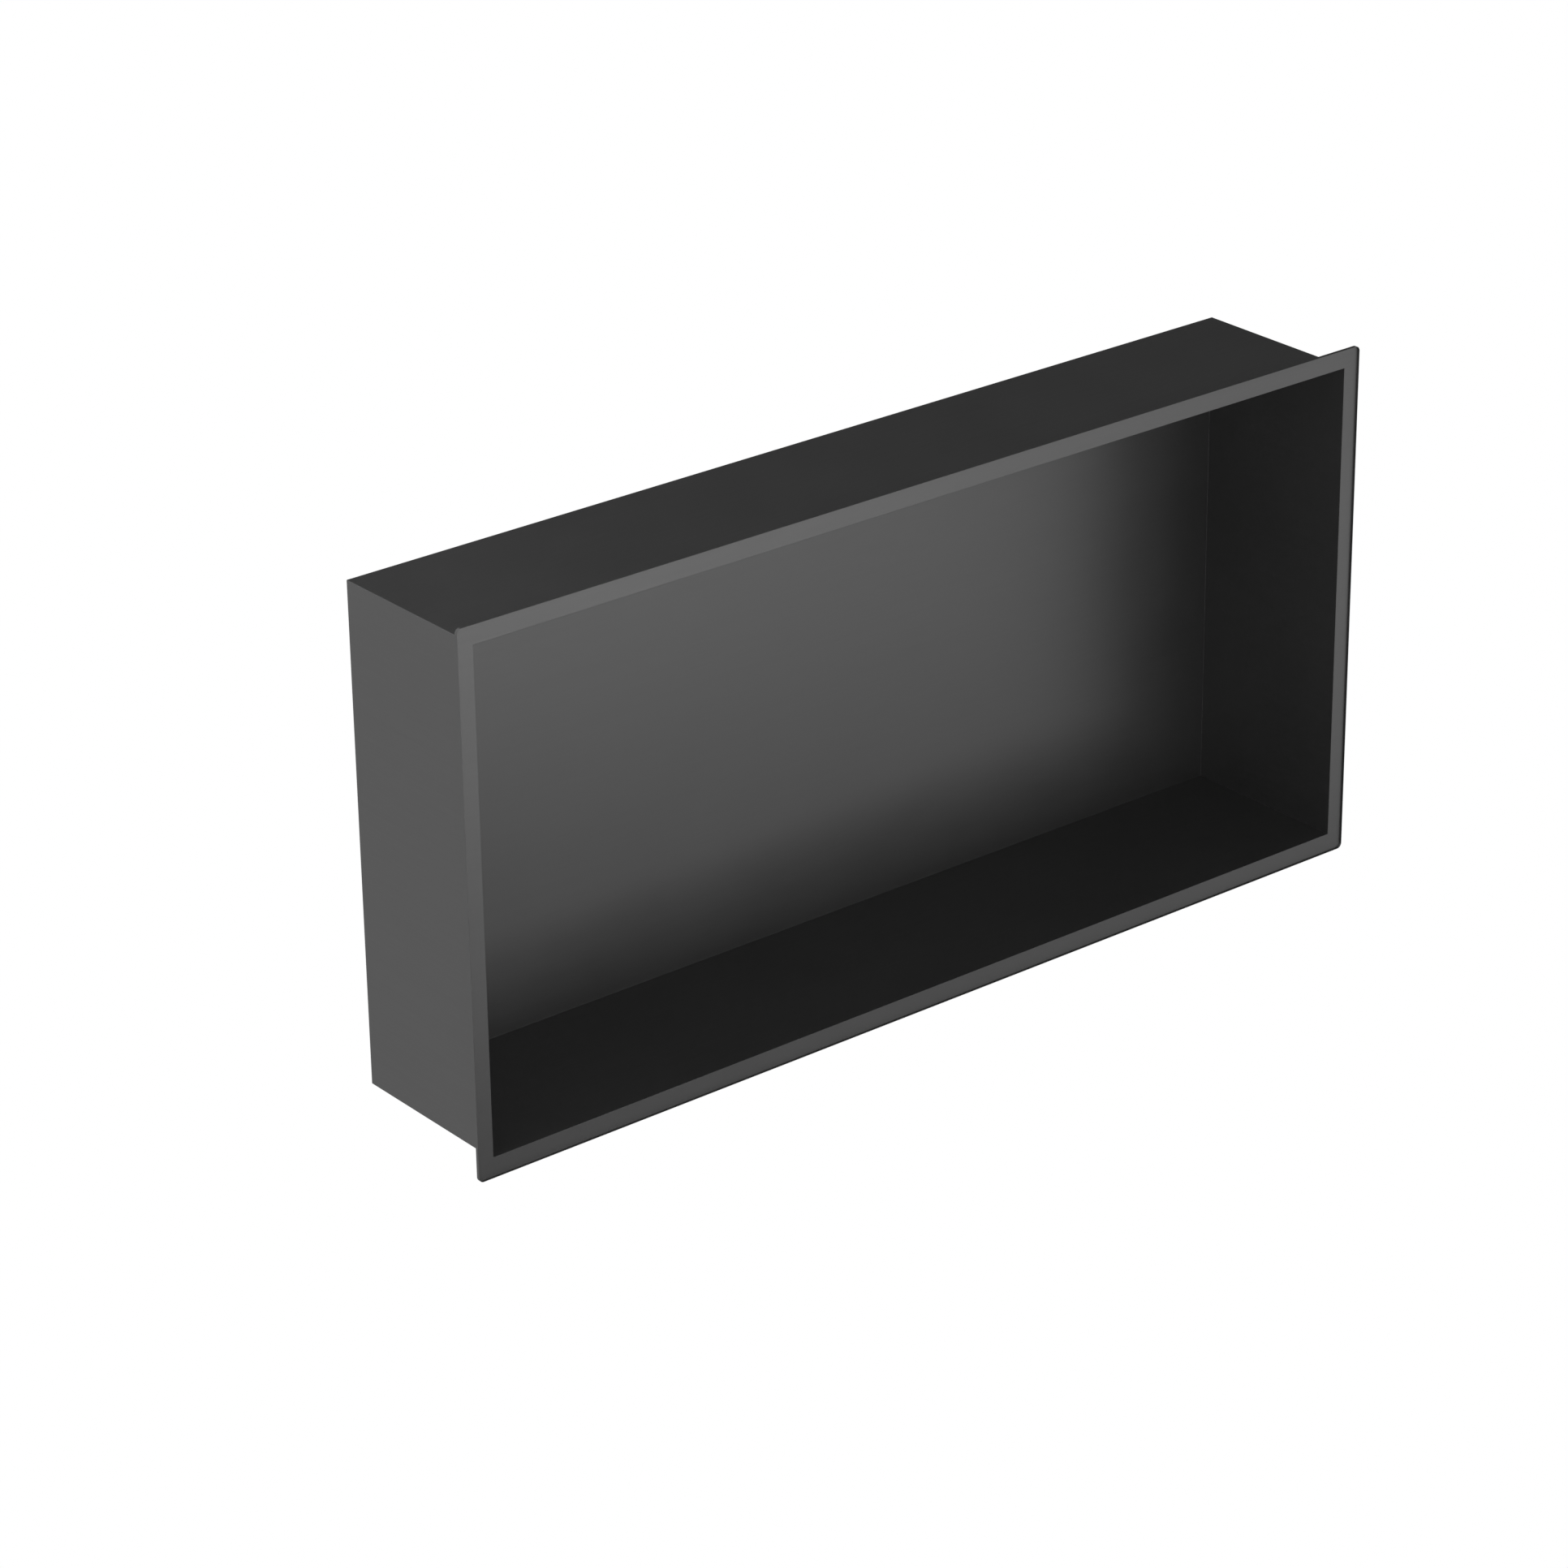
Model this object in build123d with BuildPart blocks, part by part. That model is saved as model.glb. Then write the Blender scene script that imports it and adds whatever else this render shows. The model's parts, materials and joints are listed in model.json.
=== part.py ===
from build123d import *
import os

# Shower niche insert: a thin sheet-metal tub with a flat frame flange around its mouth.
# It is let into a wall cut-out until the back of the flange meets the tiles.
# X runs along the niche, +Y goes back into the wall and +Z is up.
# The origin is the centre of the flange's back face, in the plane of the tiled wall.
# All sizes are in millimetres.

# Driving dimensions of the tub
mouth_width = 580.0          # clear opening, side to side
mouth_height = 278.0         # clear opening, floor to top
niche_depth = 104.0          # inside, from the flange's face to the back wall
sheet = 0.8                  # thickness of the tub's walls and of the flange
inside_corner_radius = 0.1   # root of the welds along the tub's inside corners
outside_corner_radius = 0.4  # dressed corners on the tub's outside

# Driving dimensions of the flange
frame_side = 10.0            # visible width of the frame at the two ends
frame_top = 11.0             # visible width of the frame at the top and the bottom
flange_corner_radius = 3.0
lip_height = 1.1             # fine raised lip along the outer edge, in front of the face
lip_thickness = 0.2

# Sizes that follow from them
tub_width = mouth_width + 2 * sheet
tub_height = mouth_height + 2 * sheet
tub_depth = niche_depth      # behind the wall plane: back wall and flange are equally thick
flange_width = mouth_width + 2 * frame_side
flange_height = mouth_height + 2 * frame_top

# Planes across the niche, from the back forwards; all of them face the front
tub_back_plane = Plane.XZ.offset(-tub_depth)
wall_plane = Plane.XZ
flange_face_plane = Plane.XZ.offset(sheet)
lip_front_plane = Plane.XZ.offset(sheet + lip_height)

with BuildPart() as niche_insert:
    # Outside of the tub, still a solid block, with its corners dressed
    with BuildSketch(tub_back_plane):
        RectangleRounded(tub_width, tub_height, outside_corner_radius)
    extrude(amount=tub_depth)
    tub_back = niche_insert.faces().sort_by(Axis.Y)[-1]
    fillet(tub_back.edges(), radius=outside_corner_radius)

    # Flange in front of the wall plane, up to the top of its lip
    with BuildSketch(wall_plane):
        RectangleRounded(flange_width, flange_height, flange_corner_radius)
    extrude(amount=sheet + lip_height)

    # Flat face of the flange, sunk inside the lip
    with BuildSketch(lip_front_plane):
        RectangleRounded(
            flange_width - 2 * lip_thickness,
            flange_height - 2 * lip_thickness,
            flange_corner_radius - lip_thickness,
        )
    extrude(amount=-lip_height, mode=Mode.SUBTRACT)

    # The niche itself, open at the front
    with BuildSketch(flange_face_plane):
        RectangleRounded(mouth_width, mouth_height, inside_corner_radius)
    extrude(amount=-niche_depth, mode=Mode.SUBTRACT)
    back_wall = niche_insert.faces().filter_by(Axis.Y).group_by(Axis.Y)[-2]
    fillet(back_wall.edges(), radius=inside_corner_radius)

niche_insert.part.label = "niche_insert"

os.makedirs("parts", exist_ok=True)
export_step(niche_insert.part, "parts/niche_insert.step")
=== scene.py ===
# %% [markdown]
# # A shower niche insert, step by step
#
# This is a recessed shelf for a shower wall: a shallow tub of thin stainless sheet with a flat
# frame flange around its open front, in dark gunmetal with a satin finish. The tub goes back
# into the wall and only the frame and the inside are seen once it is fitted.
# The CAD model holds the true sizes, so the lesson starts by loading it as a frame that nothing
# here may move. Its box is kept, and the sizes below are read from it.

# %% Load the frame
import json
import math

import bmesh
import bpy
from mathutils import Euler, Matrix, Quaternion, Vector


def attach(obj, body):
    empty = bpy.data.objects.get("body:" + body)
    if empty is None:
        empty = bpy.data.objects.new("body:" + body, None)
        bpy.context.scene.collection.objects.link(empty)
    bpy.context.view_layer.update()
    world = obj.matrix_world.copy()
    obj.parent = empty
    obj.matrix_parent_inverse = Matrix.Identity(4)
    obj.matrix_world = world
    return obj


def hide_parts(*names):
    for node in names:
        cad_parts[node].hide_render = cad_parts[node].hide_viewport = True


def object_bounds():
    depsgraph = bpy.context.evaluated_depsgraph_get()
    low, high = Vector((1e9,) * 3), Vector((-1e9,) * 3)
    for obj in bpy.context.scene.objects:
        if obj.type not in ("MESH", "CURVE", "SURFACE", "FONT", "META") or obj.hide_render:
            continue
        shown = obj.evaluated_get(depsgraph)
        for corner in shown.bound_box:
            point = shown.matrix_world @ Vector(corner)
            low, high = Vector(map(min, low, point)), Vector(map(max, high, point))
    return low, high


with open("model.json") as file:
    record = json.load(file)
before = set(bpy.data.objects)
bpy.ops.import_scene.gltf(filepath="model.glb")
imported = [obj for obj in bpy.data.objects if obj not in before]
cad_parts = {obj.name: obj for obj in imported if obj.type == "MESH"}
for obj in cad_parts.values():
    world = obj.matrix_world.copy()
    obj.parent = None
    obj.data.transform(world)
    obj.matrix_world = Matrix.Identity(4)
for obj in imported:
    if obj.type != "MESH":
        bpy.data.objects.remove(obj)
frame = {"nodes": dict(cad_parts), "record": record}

MM = 0.001  # Blender works in metres here


def in_mm(length):
    return round(length / MM, 2)


cad_low, cad_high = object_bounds()
print("CAD nodes:", sorted(frame["nodes"]))
print("CAD box in mm:", [in_mm(side) for side in cad_high - cad_low])

# %% [markdown]
# ## The camera
#
# The niche is seen from its left and from above, from far enough away that its parallel edges
# stay nearly parallel. A camera can be placed by eye, but its numbers can also be worked out:
# the straight edges of a box give the viewing direction and the lens, because three sets of
# parallel lines meet at three vanishing points. These values come from such a fit to the edges
# of the tub and the flange. The camera leans by a fraction of a degree, so its turn is built as
# tilt and swing first, and then a small roll about its own line of sight.

# %% Place the camera
PICTURE_WIDTH = 1932        # pixels, and the picture is square
FOCAL_LENGTH = 6387         # in the same pixels
CAMERA_SWING = 38.75        # degrees, from straight on towards the left end
CAMERA_DROP = 24.83         # degrees, looking down
CAMERA_ROLL = -0.72         # degrees, about the line of sight
CAMERA_PLACE = Vector((-1.5949, -1.8617, 1.1135))   # metres

bpy.ops.object.select_all(action="DESELECT")
bpy.ops.object.camera_add(location=CAMERA_PLACE)
camera = bpy.context.object
camera.name = "camera"
aim = Euler((math.radians(90 - CAMERA_DROP), 0, math.radians(-CAMERA_SWING))).to_matrix()
roll = Matrix.Rotation(math.radians(CAMERA_ROLL), 3, "Z")
camera.rotation_euler = (aim @ roll).to_euler()
camera.data.sensor_width = 36   # mm
camera.data.lens = FOCAL_LENGTH / PICTURE_WIDTH * camera.data.sensor_width
camera.data.clip_end = 100      # metres
bpy.context.scene.camera = camera
print("Camera lens:", round(camera.data.lens, 1), "mm")

# %% [markdown]
# ## The sizes
#
# Everything that can be read from the frame is read from it, so the piece below follows the CAD
# model if a size there changes. The box gives the flange, its lip and the tub's back, and the
# mount on the niche floor gives the height of the mouth. The frame is a little narrower at the
# two ends than at the top and bottom. That width, the thickness of the sheet and of the lip, and
# the small radii have no marker in the frame, so they are repeated in this script.

# %% Read the sizes from the frame
mounts = {mount["name"]: Vector(mount["pos_m"]) for mount in frame["record"]["mounts"]}

flange_x = cad_high.x                   # half the flange's width
flange_z = cad_high.z                   # half its height
lip_front = cad_low.y                   # the flange stands in front of the wall plane at y = 0
tub_back = cad_high.y
mouth_z = -mounts["niche_floor"].z      # half the clear height of the mouth

FRAME_SIDE = 10 * MM                    # visible width of the frame at the two ends
SHEET = 0.8 * MM                        # thickness of the tub's walls and of the flange
mouth_x = flange_x - FRAME_SIDE
tub_x = mouth_x + SHEET
tub_z = mouth_z + SHEET
face_front = -SHEET                     # the flange's flat face
niche_back = tub_back - SHEET           # inside face of the back wall

print("Mouth in mm:", in_mm(2 * mouth_x), "by", in_mm(2 * mouth_z))
print("Frame at the top and bottom, in mm:", in_mm(flange_z - mouth_z))
print("Lip in front of the face, in mm:", in_mm(face_front - lip_front))

# %% [markdown]
# ## The flange plate
#
# On the real insert the flange is a flat ring of sheet around the tub's mouth, with a fine lip
# turned up along its outer edge. The tub and the ring could be two objects joined by a Boolean,
# but that leaves untidy faces where they meet. Here both grow out of one plate, because
# extruding from a face keeps the mesh closed and clean. The plate is as thick as the flange and
# its lip together, and the flat face will be sunk into it.

# %% Add the plate
bpy.ops.object.select_all(action="DESELECT")
bpy.ops.mesh.primitive_cube_add(
    size=1,
    location=(0, lip_front / 2, 0),
    scale=(2 * flange_x, -lip_front, 2 * flange_z),
)
niche_shell = bpy.context.object
niche_shell.name = "niche_shell"
niche_shell.data.name = "niche_shell"
bpy.ops.object.transform_apply(location=True, rotation=True, scale=True)
print("Plate in mm:", [in_mm(side) for side in niche_shell.dimensions])

# %% [markdown]
# ## Selecting by place
#
# By hand one would click the faces and edges. In a script they are chosen by where they are: the
# helper clears the selection and then keeps each face or edge that passes a test on its corners
# or its normal. A small tolerance makes up for rounding.

# %% Helpers that select faces and edges
NEAR = 0.02 * MM
FACING = 0.9        # a normal with this share along an axis counts as pointing along it
FRONT = -1          # the way the mouth looks, along Y
BACK = 1


def near(value, target):
    return abs(value - target) < NEAR


def looks(face, side):
    """True for a face that looks to the front or to the back, as side says."""
    return face.normal.y * side > FACING


def pick(kind, wanted):
    """Selects each face or edge for which wanted is true, and says how many there are."""
    bpy.ops.mesh.select_mode(type=kind)
    bpy.ops.mesh.select_all(action="DESELECT")
    cage = bmesh.from_edit_mesh(niche_shell.data)
    cage.normal_update()
    choices = cage.faces if kind == "FACE" else cage.edges
    for choice in choices:
        choice.select_set(wanted(choice))
    bmesh.update_edit_mesh(niche_shell.data)
    return sum(choice.select for choice in choices)


bpy.ops.object.mode_set(mode="EDIT")
print("Faces on the front:", pick("FACE", lambda face: looks(face, FRONT)))

# %% [markdown]
# ## The flange's corners
#
# The flange's corners are dressed to a small radius so that nobody gets scratched while cleaning
# the tiles. The bevel tool rounds the four short corner edges, with enough segments that the
# outline stays smooth close up. It is done now, while the plate is still a plain block.

# %% Round the corners
FLANGE_CORNER = 3.0 * MM


def bevel(radius, segments):
    bpy.ops.mesh.bevel(
        offset=radius,
        offset_type="OFFSET",
        segments=segments,
        profile=0.5,        # a round one
        affect="EDGES",
        clamp_overlap=False,
    )


def runs_along_depth(edge, half_x, half_z):
    """True for an edge that runs along the depth at a corner of a rectangle around the middle."""
    a, b = [end.co for end in edge.verts]
    at_corner = near(abs(a.x), half_x) and near(abs(a.z), half_z)
    return at_corner and near(a.x, b.x) and near(a.z, b.z)


print("Corner edges picked:", pick("EDGE", lambda edge: runs_along_depth(edge, flange_x, flange_z)))
bevel(FLANGE_CORNER, segments=12)

# %% [markdown]
# ## The raised lip
#
# A lip about a millimetre high runs round the outer edge and keeps water and sealant off the
# face. It is hardly noticed by itself, but at the right and at the bottom its inner side shows
# as a thin dark line. An inset copies the outline at an even distance, round the corners too,
# and the face inside it is then pushed back to where the flange's flat face belongs.

# %% Sink the flat face inside the lip
LIP_THICKNESS = 0.2 * MM


def is_middle(face, side):
    """True for the face around the middle of the plate, on its front or its back."""
    centre = face.calc_center_median()
    return looks(face, side) and near(centre.x, 0) and near(centre.z, 0)


def push(distance):
    """Extrudes the selected faces along the depth, towards the back if distance is positive."""
    bpy.ops.mesh.extrude_region_move(TRANSFORM_OT_translate={"value": (0, distance, 0)})


print("Front faces picked:", pick("FACE", lambda face: looks(face, FRONT)))
bpy.ops.mesh.inset(thickness=LIP_THICKNESS, depth=0, use_even_offset=True, use_boundary=True)
print("Faces inside the lip:", pick("FACE", lambda face: is_middle(face, FRONT)))
push(face_front - lip_front)

# %% [markdown]
# ## The tub and the niche
#
# An inset would draw the mouth on the flat face too, but its corner lines run out to the rounded
# corners and get in the way there. Four bisect cuts draw the same rectangle with lines that meet
# the outline squarely. The same is done on the back for the tub. Then the middle of the back
# face is pulled out to make the tub, and the middle of the front face is pushed in to make the
# niche, which leaves walls of one sheet thickness.

# %% Draw the tub on the back and the mouth on the front


def lies_at(face, side, level):
    """True for a face that looks to this side and lies at this depth."""
    return looks(face, side) and near(face.calc_center_median().y, level)


def cut_rectangle(side, level, half_x, half_z):
    """Cuts the faces on this side, at this depth, along the four lines of a rectangle."""
    for half, axis in ((half_x, Vector((1, 0, 0))), (half_z, Vector((0, 0, 1)))):
        for place in (half, -half):
            pick("FACE", lambda face: lies_at(face, side, level))
            bpy.ops.mesh.bisect(plane_co=axis * place, plane_no=axis, threshold=NEAR / 10)


cut_rectangle(BACK, 0, tub_x, tub_z)
cut_rectangle(FRONT, face_front, mouth_x, mouth_z)
print("Faces on the back:", pick("FACE", lambda face: looks(face, BACK)))
print("Faces of the flat:", pick("FACE", lambda face: lies_at(face, FRONT, face_front)))

# %% Pull the tub out and push the niche in
print("Tub faces picked:", pick("FACE", lambda face: is_middle(face, BACK)))
push(tub_back)
print("Mouth faces picked:", pick("FACE", lambda face: is_middle(face, FRONT)))
push(niche_back - face_front)
print("Niche depth in mm:", in_mm(niche_back - face_front))

# %% [markdown]
# ## The tub's corners
#
# The tub is folded from one sheet and its corners are welded and ground flush, so they look sharp
# but are never knife edges. Outside they get a radius of 0.4 mm, and inside, where a trace of weld
# metal stays in the corner, 0.1 mm. The edges of the mouth and of the lip are only broken. These
# radii are too small to see as curves, but each one catches a thin line of light of its own.

# %% Dress the corners of the tub
OUTSIDE_RADIUS = 0.4 * MM
INSIDE_RADIUS = 0.1 * MM


def in_box_corner(edge, half_x, half_z, back):
    """True for an edge where two walls of a box meet, or a wall and its back."""
    at_back = all(near(end.co.y, back) for end in edge.verts)
    return at_back or runs_along_depth(edge, half_x, half_z)


print("Outside edges picked:", pick("EDGE", lambda edge: in_box_corner(edge, tub_x, tub_z, tub_back)))
bevel(OUTSIDE_RADIUS, segments=4)
print("Inside edges picked:", pick("EDGE", lambda edge: in_box_corner(edge, mouth_x, mouth_z, niche_back)))
bevel(INSIDE_RADIUS, segments=3)

# %% Break the edges of the mouth and the lip
MOUTH_BREAK = 0.15 * MM
LIP_BREAK = 0.05 * MM


def inside_frame(point):
    return abs(point.x) < mouth_x + NEAR and abs(point.z) < mouth_z + NEAR


def is_mouth_edge(edge):
    return all(near(end.co.y, face_front) and inside_frame(end.co) for end in edge.verts)


def is_lip_edge(edge):
    """True for an edge on the outer or the inner outline of the lip's narrow front."""
    at_front = all(near(end.co.y, lip_front) for end in edge.verts)
    between_fronts = all(looks(face, FRONT) for face in edge.link_faces)
    return at_front and not between_fronts


print("Mouth edges picked:", pick("EDGE", is_mouth_edge))
bevel(MOUTH_BREAK, segments=3)
print("Lip edges picked:", pick("EDGE", is_lip_edge))
bevel(LIP_BREAK, segments=2)
bpy.ops.object.mode_set(mode="OBJECT")

# %% [markdown]
# ## Smooth shading that keeps the flats flat
#
# Plain smooth shading would bend the light near every edge, because a corner's normal is the mean
# of the big flat face and the tiny bevel beside it. Shading by angle keeps the true edges sharp,
# and the Weighted Normal modifier lets the larger face decide, so the flats reflect like flats
# and only the bevels look round.

# %% Shade the shell
SHARP_ANGLE = math.radians(40)

bpy.ops.object.shade_smooth_by_angle(angle=SHARP_ANGLE)
bpy.ops.object.modifier_add(type="WEIGHTED_NORMAL")
weighting = niche_shell.modifiers[-1]
weighting.mode = "FACE_AREA"
weighting.weight = 100
weighting.keep_sharp = True
bpy.ops.object.modifier_apply(modifier=weighting.name)
print("Faces in the shell:", len(niche_shell.data.polygons))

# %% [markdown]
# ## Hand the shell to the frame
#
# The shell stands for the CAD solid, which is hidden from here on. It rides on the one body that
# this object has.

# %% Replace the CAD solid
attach(niche_shell, "root")
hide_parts("niche_insert")
print("Shell box in mm:", [in_mm(side) for side in niche_shell.dimensions])

# %% [markdown]
# ## The brushed grain
#
# The sheet is brushed with an abrasive belt before it is coated, which leaves fine parallel
# scratches. From across a room they can't be seen one by one, they only make the metal satin,
# but close up they should be there. An image of brushed metal would need unwrapping and would
# show its tiles. Stretched noise needs neither: squeezed a hundred times across the grain, its
# spots turn into scratches. Two layers are made, scratches a third of a millimetre wide and faint
# streaks of a few millimetres. They sit in a node group that is handed its place on the sheet,
# because the grain doesn't run in the same direction on every wall.

# %% Make the grain as a node group
SCRATCH_WIDTH = 0.3 * MM
SCRATCH_LENGTH = 30 * MM
STREAK_WIDTH = 4 * MM
STREAK_LENGTH = 250 * MM
GRAIN_DETAIL = 2        # finer noises laid over each layer

grain_group = bpy.data.node_groups.new("brushed_grain", "ShaderNodeTree")
grain_group.interface.new_socket("Along X", in_out="INPUT", socket_type="NodeSocketVector")
grain_group.interface.new_socket("Scratches", in_out="OUTPUT", socket_type="NodeSocketFloat")
grain_group.interface.new_socket("Streaks", in_out="OUTPUT", socket_type="NodeSocketFloat")
grain_input = grain_group.nodes.new("NodeGroupInput")
grain_output = grain_group.nodes.new("NodeGroupOutput")


def add_grain_layer(name, width, length):
    """Adds a noise with spots of this width, drawn out along X to this length."""
    stretched = grain_group.nodes.new("ShaderNodeVectorMath")
    stretched.operation = "MULTIPLY"
    stretched.inputs[1].default_value = (1 / length, 1 / width, 1 / width)
    noise = grain_group.nodes.new("ShaderNodeTexNoise")
    noise.label = name
    noise.inputs["Scale"].default_value = 1
    noise.inputs["Detail"].default_value = GRAIN_DETAIL
    grain_group.links.new(grain_input.outputs["Along X"], stretched.inputs[0])
    grain_group.links.new(stretched.outputs["Vector"], noise.inputs["Vector"])
    grain_group.links.new(noise.outputs["Fac"], grain_output.inputs[name])


add_grain_layer("Scratches", SCRATCH_WIDTH, SCRATCH_LENGTH)
add_grain_layer("Streaks", STREAK_WIDTH, STREAK_LENGTH)
print("Grain sockets:", [socket.name for socket in grain_group.interface.items_tree])

# %% [markdown]
# ## Satin gunmetal
#
# Gunmetal on steel is a hard coating laid down in a vacuum chamber, so it is a metal surface too,
# dark grey and with hardly any colour of its own. The shader's Metallic is 1, its base colour says
# how much is reflected, and the roughness says how blurred the reflection is. Both vary a little
# with the grain. The end walls are bent up from the same sheet, so the grain that runs along the
# niche turns into its depth there: the normal tells which walls those are.

# %% Lay the grain on the sheet
END_WALL_SHARE = 0.7        # an end wall's normal has more than this share along X

gunmetal = bpy.data.materials.new("satin_gunmetal")
gunmetal.use_nodes = True
steel_nodes = gunmetal.node_tree.nodes
steel_links = gunmetal.node_tree.links

place = steel_nodes.new("ShaderNodeTexCoord")
axes = steel_nodes.new("ShaderNodeSeparateXYZ")
steel_links.new(place.outputs["Object"], axes.inputs["Vector"])
turned_place = steel_nodes.new("ShaderNodeCombineXYZ")
steel_links.new(axes.outputs["Y"], turned_place.inputs["X"])
steel_links.new(axes.outputs["X"], turned_place.inputs["Y"])
steel_links.new(axes.outputs["Z"], turned_place.inputs["Z"])

geometry = steel_nodes.new("ShaderNodeNewGeometry")
unsigned_normal = steel_nodes.new("ShaderNodeVectorMath")
unsigned_normal.operation = "ABSOLUTE"
steel_links.new(geometry.outputs["True Normal"], unsigned_normal.inputs[0])
normal_axes = steel_nodes.new("ShaderNodeSeparateXYZ")
steel_links.new(unsigned_normal.outputs["Vector"], normal_axes.inputs["Vector"])
is_end_wall = steel_nodes.new("ShaderNodeMath")
is_end_wall.operation = "GREATER_THAN"
is_end_wall.inputs[1].default_value = END_WALL_SHARE
steel_links.new(normal_axes.outputs["X"], is_end_wall.inputs[0])

# The Mix node has sockets of the same name for each kind of data. Inputs 4 and 5 and output 1
# are those for vectors.
grain_place = steel_nodes.new("ShaderNodeMix")
grain_place.data_type = "VECTOR"
steel_links.new(is_end_wall.outputs["Value"], grain_place.inputs["Factor"])
steel_links.new(place.outputs["Object"], grain_place.inputs[4])
steel_links.new(turned_place.outputs["Vector"], grain_place.inputs[5])
grain = steel_nodes.new("ShaderNodeGroup")
grain.node_tree = grain_group
steel_links.new(grain_place.outputs[1], grain.inputs["Along X"])
print("Grain outputs:", [socket.name for socket in grain.outputs])

# %% [markdown]
# ## Unevenness
#
# No real coating is quite even. Besides the grain it has faint clouds a few centimetres wide, which
# a plain noise with no stretch can make. A noise gives values around one half and seldom leaves a
# middle range. Taken as it is, it would change the finish far too much, so each one is mapped from
# that range to a small reach around the value that the finish should have.

# %% Add the clouds
CLOUD_WIDTH = 60 * MM       # the coating drifts over about this distance
CLOUD_DETAIL = 3

clouds = steel_nodes.new("ShaderNodeTexNoise")
clouds.inputs["Scale"].default_value = 1 / CLOUD_WIDTH
clouds.inputs["Detail"].default_value = CLOUD_DETAIL
steel_links.new(place.outputs["Object"], clouds.inputs["Vector"])
print("Width of the clouds in mm:", in_mm(CLOUD_WIDTH))

# %% Helpers that vary a value over the sheet
NOISE_LOW = 0.3
NOISE_HIGH = 0.7


def spread(noise, centre, reach):
    """Maps a noise to values that lie up to reach below and above centre."""
    ranged = steel_nodes.new("ShaderNodeMapRange")
    ranged.inputs["From Min"].default_value = NOISE_LOW
    ranged.inputs["From Max"].default_value = NOISE_HIGH
    ranged.inputs["To Min"].default_value = centre - reach
    ranged.inputs["To Max"].default_value = centre + reach
    steel_links.new(noise, ranged.inputs["Value"])
    return ranged.outputs["Result"]


def combine(operation, first, second):
    node = steel_nodes.new("ShaderNodeMath")
    node.operation = operation
    steel_links.new(first, node.inputs[0])
    steel_links.new(second, node.inputs[1])
    return node.outputs["Value"]


print("Middle range of a noise:", NOISE_LOW, "to", NOISE_HIGH)

# %% Vary the tone, the roughness and the height
STEEL_TONE = 0.14
CLOUD_TONE = 0.015          # shares of the tone by which it varies
STREAK_TONE = 0.007
STEEL_ROUGHNESS = 0.42
SCRATCH_ROUGHNESS = 0.03    # amounts by which the roughness varies
CLOUD_ROUGHNESS = 0.01
SCRATCH_HEIGHT = 0.002 * MM

steel = steel_nodes["Principled BSDF"]
steel.inputs["Metallic"].default_value = 1
tone = combine(
    "MULTIPLY",
    spread(clouds.outputs["Fac"], STEEL_TONE, STEEL_TONE * CLOUD_TONE),
    spread(grain.outputs["Streaks"], 1, STREAK_TONE),
)
steel_links.new(tone, steel.inputs["Base Color"])
roughness = combine(
    "ADD",
    spread(grain.outputs["Scratches"], STEEL_ROUGHNESS, SCRATCH_ROUGHNESS),
    spread(clouds.outputs["Fac"], 0, CLOUD_ROUGHNESS),
)
steel_links.new(roughness, steel.inputs["Roughness"])
scratched = steel_nodes.new("ShaderNodeBump")
scratched.inputs["Distance"].default_value = SCRATCH_HEIGHT
steel_links.new(grain.outputs["Scratches"], scratched.inputs["Height"])
steel_links.new(scratched.outputs["Normal"], steel.inputs["Normal"])

niche_shell.data.materials.clear()
niche_shell.data.materials.append(gunmetal)
print("Finish:", gunmetal.name, "with", len(steel_nodes), "nodes")

# %% [markdown]
# ## The floor
#
# The niche stands on a plain white sweep, as small products are pictured, with no line between
# the floor and the backdrop and no shadow under the flange. A white diffuse floor would turn grey
# wherever less light falls on it, and it would throw light back into the metal. This one glows
# evenly instead and is hidden from every ray but the camera's, so the metal is lit by the lamps and
# the world alone. Its underside is clear, so that the niche can also be looked at from below.

# %% Lay the floor
FLOOR_WIDTH = 40            # metres, so that its edges are far out of sight

bpy.ops.object.select_all(action="DESELECT")
bpy.ops.mesh.primitive_plane_add(size=FLOOR_WIDTH, location=(0, 0, cad_low.z))
floor = bpy.context.object
floor.name = "floor"
floor.visible_diffuse = False
floor.visible_glossy = False
floor.visible_transmission = False
floor.visible_shadow = False

white_floor = bpy.data.materials.new("white_floor")
white_floor.use_nodes = True
floor_nodes = white_floor.node_tree.nodes
floor_links = white_floor.node_tree.links
floor_nodes.remove(floor_nodes["Principled BSDF"])
glow = floor_nodes.new("ShaderNodeEmission")
clear = floor_nodes.new("ShaderNodeBsdfTransparent")
floor_side = floor_nodes.new("ShaderNodeNewGeometry")
glow_or_clear = floor_nodes.new("ShaderNodeMixShader")
floor_links.new(floor_side.outputs["Backfacing"], glow_or_clear.inputs["Fac"])
floor_links.new(glow.outputs["Emission"], glow_or_clear.inputs[1])
floor_links.new(clear.outputs["BSDF"], glow_or_clear.inputs[2])
floor_links.new(glow_or_clear.outputs["Shader"], floor_nodes["Material Output"].inputs["Surface"])
floor.data.materials.append(white_floor)
print("Floor at z in mm:", in_mm(cad_low.z))

# %% [markdown]
# ## The studio light
#
# A satin metal shows nothing but a blurred picture of what is around it, so lighting it means
# deciding what stands where. A world picture would be the quick way, but light from far off gives
# every point of a flat face the same shade. On the real flange the shade changes from the top to
# the bottom, as it does when large soft lamps stand about a metre away, so area lamps are used,
# shaped like softboxes and reflector boards. Each one is given by the direction it stands in, by
# how much of the view it fills and by its brightness, and its power follows from these. They were
# tuned until each wall and each side of the flange had its right shade. One board leans, so the
# flange's shade changes more from top to bottom at its left end than at its right. The world adds
# a little light from all round, and shows the camera a plain white backdrop.

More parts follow.
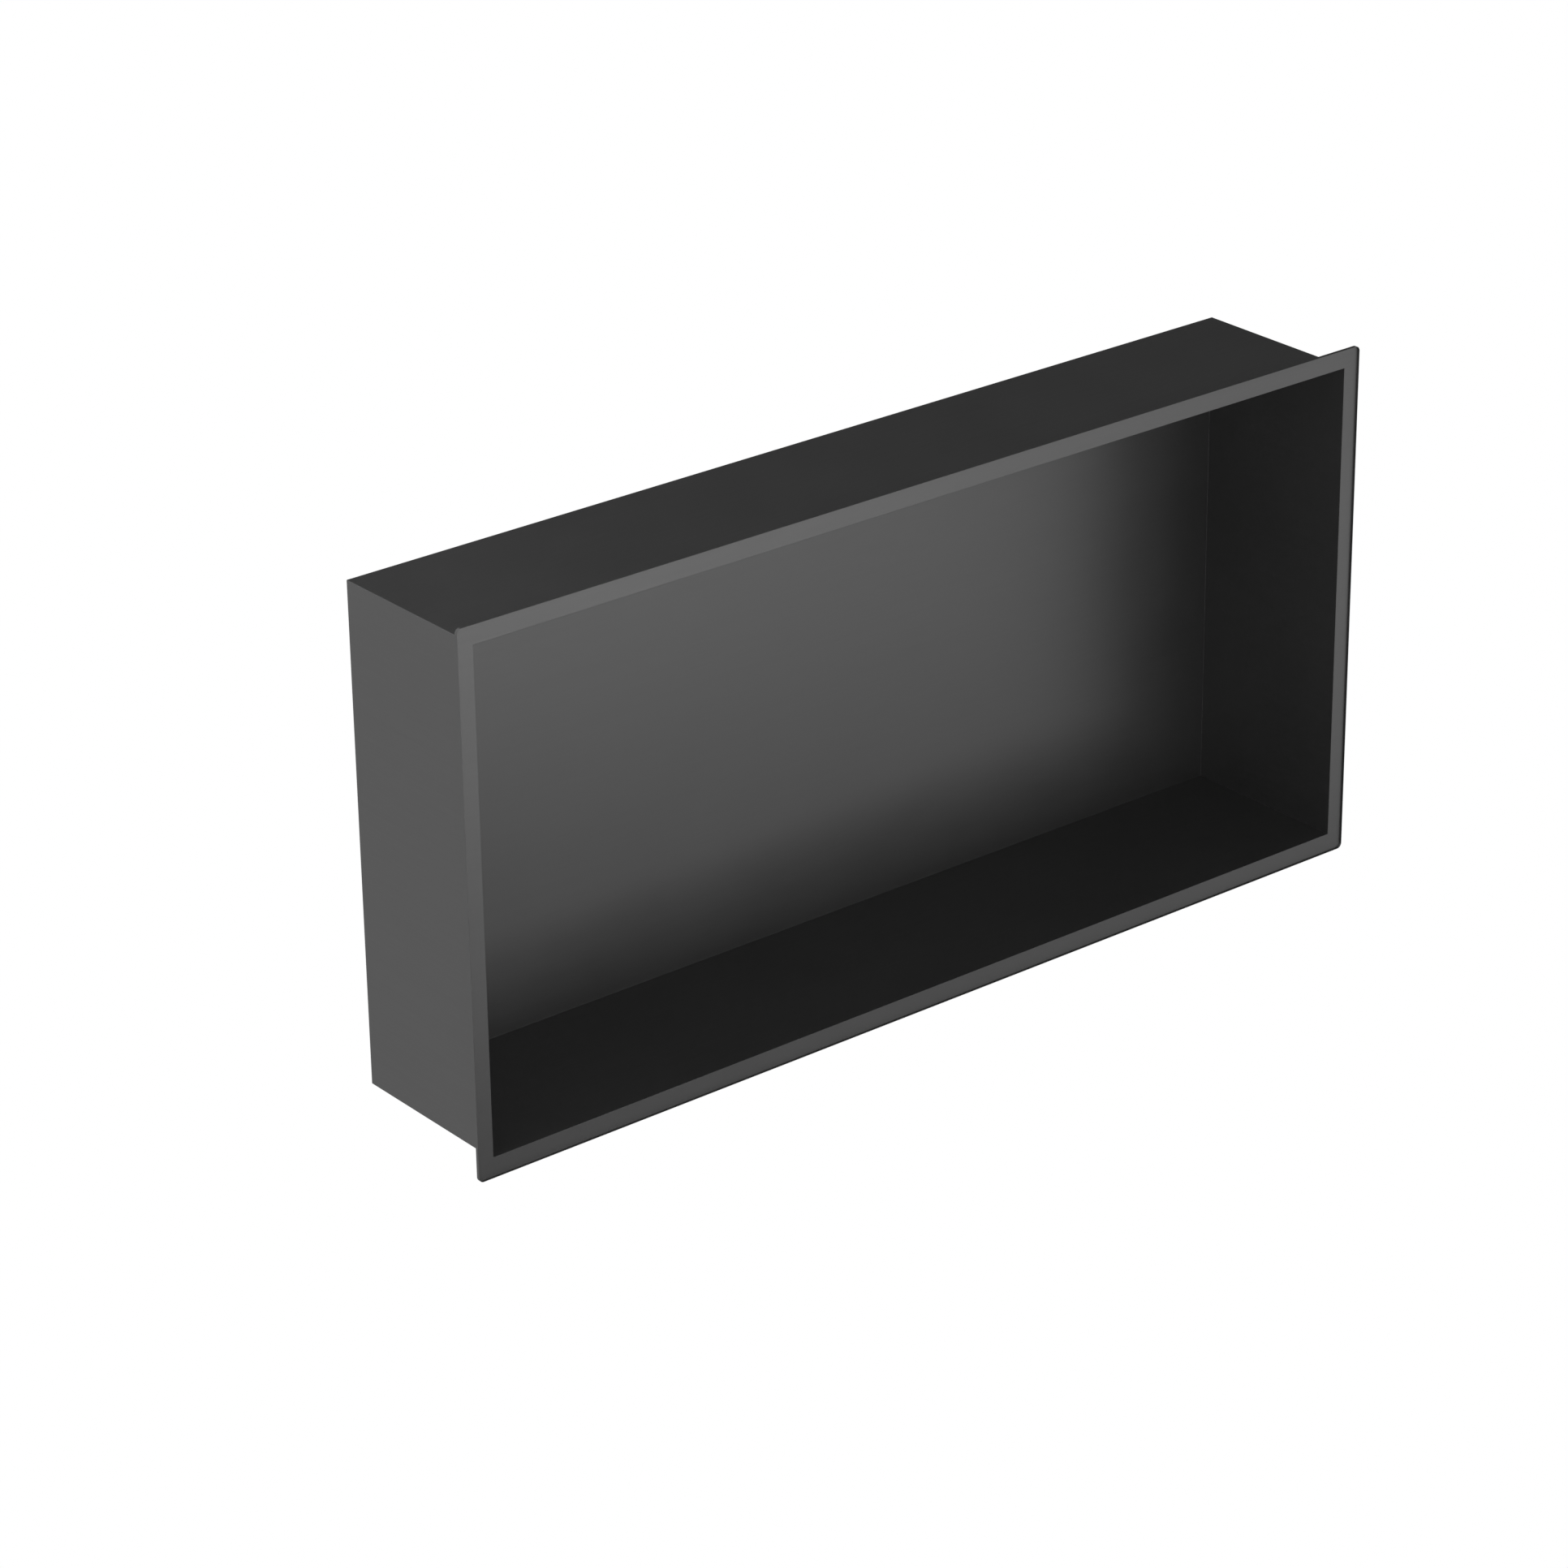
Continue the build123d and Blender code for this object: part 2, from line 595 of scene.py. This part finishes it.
# %% Light the studio
# Azimuth 0 is in front of the mouth and 90 is to its right. Half width and half height are angles
# as well: they say how much of the view a lamp fills, seen from the niche. The lean turns a lamp
# about its own line to the niche.
LAMPS = [
    # name, azimuth, elevation, half width, half height and lean in degrees, brightness
    ("large softbox, high on the left", -66, 43, 42, 59, 0, 1.8),
    ("small softbox in front", 22.5, -1, 11, 13, 0, 1.2),
    ("reflector on the right", 61.5, -7, 52, 18, 20, 0.8),
    ("reflector below and behind", 169, -52, 70, 66, 0, 0.57),
    ("soft light straight ahead", 3.5, -0.5, 9.5, 22.5, 0, 1.6),
    ("fill, behind on the left", -133, 37, 42, 43, 0, 0.35),
]
LAMP_DISTANCE = 1.0                         # metres
LAMP_TARGET = Vector((0, 0.05, 0))          # about the middle of the niche


def direction(azimuth, elevation):
    turn = math.radians(azimuth)
    rise = math.radians(elevation)
    level = math.cos(rise)
    return Vector((math.sin(turn) * level, -math.cos(turn) * level, math.sin(rise)))


def add_lamp(name, azimuth, elevation, half_width, half_height, lean, brightness):
    away = direction(azimuth, elevation)
    turn = away.to_track_quat("Z", "Y") @ Quaternion((0, 0, 1), math.radians(lean))
    bpy.ops.object.select_all(action="DESELECT")
    bpy.ops.object.light_add(
        type="AREA",
        location=LAMP_TARGET + away * LAMP_DISTANCE,
        rotation=turn.to_euler(),
    )
    lamp = bpy.context.object
    lamp.name = name
    lamp.visible_camera = False
    lamp.data.shape = "RECTANGLE"
    lamp.data.size = 2 * LAMP_DISTANCE * math.tan(math.radians(half_width))
    lamp.data.size_y = 2 * LAMP_DISTANCE * math.tan(math.radians(half_height))
    lamp.data.energy = brightness * math.pi * lamp.data.size * lamp.data.size_y
    return lamp


for settings in LAMPS:
    lamp = add_lamp(*settings)
    sides = [round(lamp.data.size, 2), round(lamp.data.size_y, 2)]
    print(lamp.name, "sides in m:", sides, "power in W:", round(lamp.data.energy, 2))

# %% Add light from all round and a white backdrop
WHITE = (1, 1, 1, 1)
LIGHT_ALL_ROUND = 0.04

world = bpy.data.worlds.new("studio")
bpy.context.scene.world = world
world.use_nodes = True
world_nodes = world.node_tree.nodes
world_links = world.node_tree.links
around = world_nodes["Background"]
around.inputs["Color"].default_value = WHITE
around.inputs["Strength"].default_value = LIGHT_ALL_ROUND
backdrop = world_nodes.new("ShaderNodeBackground")
backdrop.inputs["Color"].default_value = WHITE
ray = world_nodes.new("ShaderNodeLightPath")
around_or_backdrop = world_nodes.new("ShaderNodeMixShader")
world_links.new(ray.outputs["Is Camera Ray"], around_or_backdrop.inputs["Fac"])
world_links.new(around.outputs["Background"], around_or_backdrop.inputs[1])
world_links.new(backdrop.outputs["Background"], around_or_backdrop.inputs[2])
world_links.new(around_or_backdrop.outputs["Shader"], world_nodes["World Output"].inputs["Surface"])
bpy.context.scene.view_settings.view_transform = "Standard"
print("Lamps:", len(LAMPS), "and light from all round:", LIGHT_ALL_ROUND)
